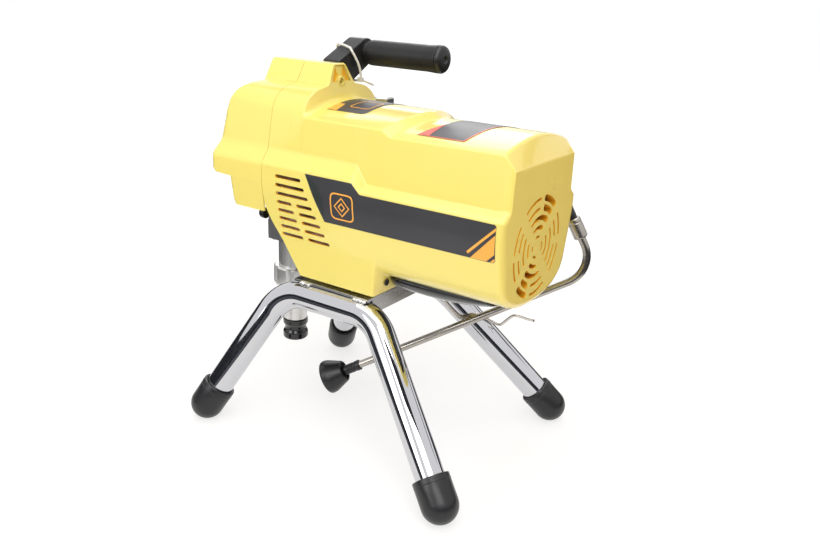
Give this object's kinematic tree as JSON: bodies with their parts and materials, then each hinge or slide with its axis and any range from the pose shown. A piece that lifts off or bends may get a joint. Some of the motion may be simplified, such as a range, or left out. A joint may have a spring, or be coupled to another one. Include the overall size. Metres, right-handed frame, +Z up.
{
  "type": "airless paint sprayer",
  "caption": "Electric piston-pump paint sprayer: shrouded motor and gearbox on a four-legged tube stand, with a carry handle, a side manifold and a drain tube.",
  "frame": {"origin": "bottom centre of the bounding box, on the floor under the stand", "axes": "+Z up; -Y towards the pump end; +Y towards the fan grille; -X towards the manifold and controls"},
  "size_m": [0.3042, 0.3984, 0.4476],
  "materials": {
    "yellow_plastic": "moulded, semi-gloss",
    "black_plastic": "moulded, fine texture",
    "gloss_black": "moulded, gloss",
    "black_rubber": "moulded, matt",
    "black_paint": "powder coat",
    "chrome": "polished chrome plate",
    "steel": "zinc plated or machined",
    "stainless": "drawn tube and wire, bright",
    "grey_casting": "as cast",
    "aluminium": "machined",
    "brass": "machined",
    "copper": "enamelled copper windings",
    "white_nylon": "moulded nylon",
    "red_plastic": "moulded"
  },
  "bodies": {
    "machine": {"base_plate": "steel", "belly_pan": "gloss_black", "cable_tie": "white_nylon", "control_box": "black_plastic", "cord_gland": "black_rubber", "crank_front_bearing": "steel", "crank_rear_bearing": "steel", "deflector_cone": "black_rubber", "drain_fitting": "brass", "drain_hose": "black_rubber", "drain_tube": "stainless", "drive_housing": "grey_casting", "filter_bowl": "aluminium", "filter_cap": "steel", "filter_element": "red_plastic", "foot_front_left": "black_rubber", "foot_front_right": "black_rubber", "foot_rear_left": "black_rubber", "foot_rear_right": "black_rubber", "foot_valve": "steel", "front_cover": "yellow_plastic", "gearbox_cover": "grey_casting", "grip_end_cap": "black_plastic", "handle_arm": "black_paint", "handle_grip": "black_rubber", "hose_ferrule": "stainless", "hose_outlet": "steel", "jam_nut": "steel", "leg_left": "chrome", "leg_right": "chrome", "manifold_block": "aluminium", "motor_can": "black_paint", "motor_shroud": "yellow_plastic", "packing_nut": "brass", "pressure_sensor": "steel", "prime_valve": "brass", "pump_cylinder": "chrome", "pump_yoke": "grey_casting", "stator_winding": "copper", "throat_packing": "white_nylon", "tube_sleeve": "black_rubber", "wire_clip": "stainless"},
    "crank": {"crankshaft": "steel", "crank_gear": "steel"},
    "rod": {"connecting_rod": "steel", "wrist_pin": "steel"},
    "idler": {"idler_shaft": "steel", "idler_gear": "steel", "idler_pinion": "steel"},
    "rotor": {"rotor_shaft": "steel", "motor_pinion": "steel", "cooling_fan": "black_plastic"},
    "piston": {"piston_rod": "steel", "piston_seal": "white_nylon"},
    "outlet_ball": {"outlet_ball": "steel"},
    "inlet_ball": {"inlet_ball": "steel"},
    "prime_lever": {"prime_lever": "red_plastic"},
    "pressure_knob": {"pressure_knob": "black_plastic"},
    "power_switch": {"power_switch": "red_plastic"},
    "inlet_cap": {"inlet_cap": "black_rubber"}
  },
  "joints": [
    {"name": "crank_turn", "type": "hinge", "parent": "machine", "child": "crank", "pos_m": [0.00224, -0.0012, 0.3292], "axis": [0, 1, 0], "continuous": true},
    {"name": "rod_orbit", "type": "hinge", "parent": "crank", "child": "rod", "pos_m": [0.00224, -0.1422, 0.3172], "axis": [0, 1, 0], "continuous": true},
    {"name": "idler_turn", "type": "hinge", "parent": "machine", "child": "idler", "pos_m": [0.02191, -0.0012, 0.28984], "axis": [0, 1, 0], "continuous": true},
    {"name": "motor_turn", "type": "hinge", "parent": "machine", "child": "rotor", "pos_m": [0.00224, -0.0012, 0.2662], "axis": [0, 1, 0], "continuous": true},
    {"name": "piston_slide", "type": "slide", "parent": "machine", "child": "piston", "axis": [0, 0, 1], "range_m": [0, 0.024]},
    {"name": "outlet_ball_lift", "type": "slide", "parent": "piston", "child": "outlet_ball", "axis": [0, 0, 1], "range_m": [0, 0.003]},
    {"name": "inlet_ball_lift", "type": "slide", "parent": "machine", "child": "inlet_ball", "axis": [0, 0, 1], "range_m": [0, 0.003]},
    {"name": "prime_lever_turn", "type": "hinge", "parent": "machine", "child": "prime_lever", "pos_m": [-0.14276, -0.0932, 0.2572], "axis": [-1, 0, 0], "range_deg": [0, 90]},
    {"name": "pressure_knob_turn", "type": "hinge", "parent": "machine", "child": "pressure_knob", "pos_m": [-0.09576, 0.0128, 0.2752], "axis": [-1, 0, 0], "range_deg": [0, 270]},
    {"name": "power_switch_rock", "type": "hinge", "parent": "machine", "child": "power_switch", "pos_m": [-0.09476, 0.0728, 0.2752], "axis": [0, -1, 0], "range_deg": [0, 20]},
    {"name": "inlet_cap_pull", "type": "slide", "parent": "machine", "child": "inlet_cap", "axis": [0, 0, -1], "range_m": [0, 0.03]}
  ],
  "couplings": [
    {"joint": "rod_orbit", "follows": "crank_turn", "ratio": -1},
    {"joint": "idler_turn", "follows": "crank_turn", "ratio": -3.4},
    {"joint": "motor_turn", "follows": "crank_turn", "ratio": 12.089}
  ]
}
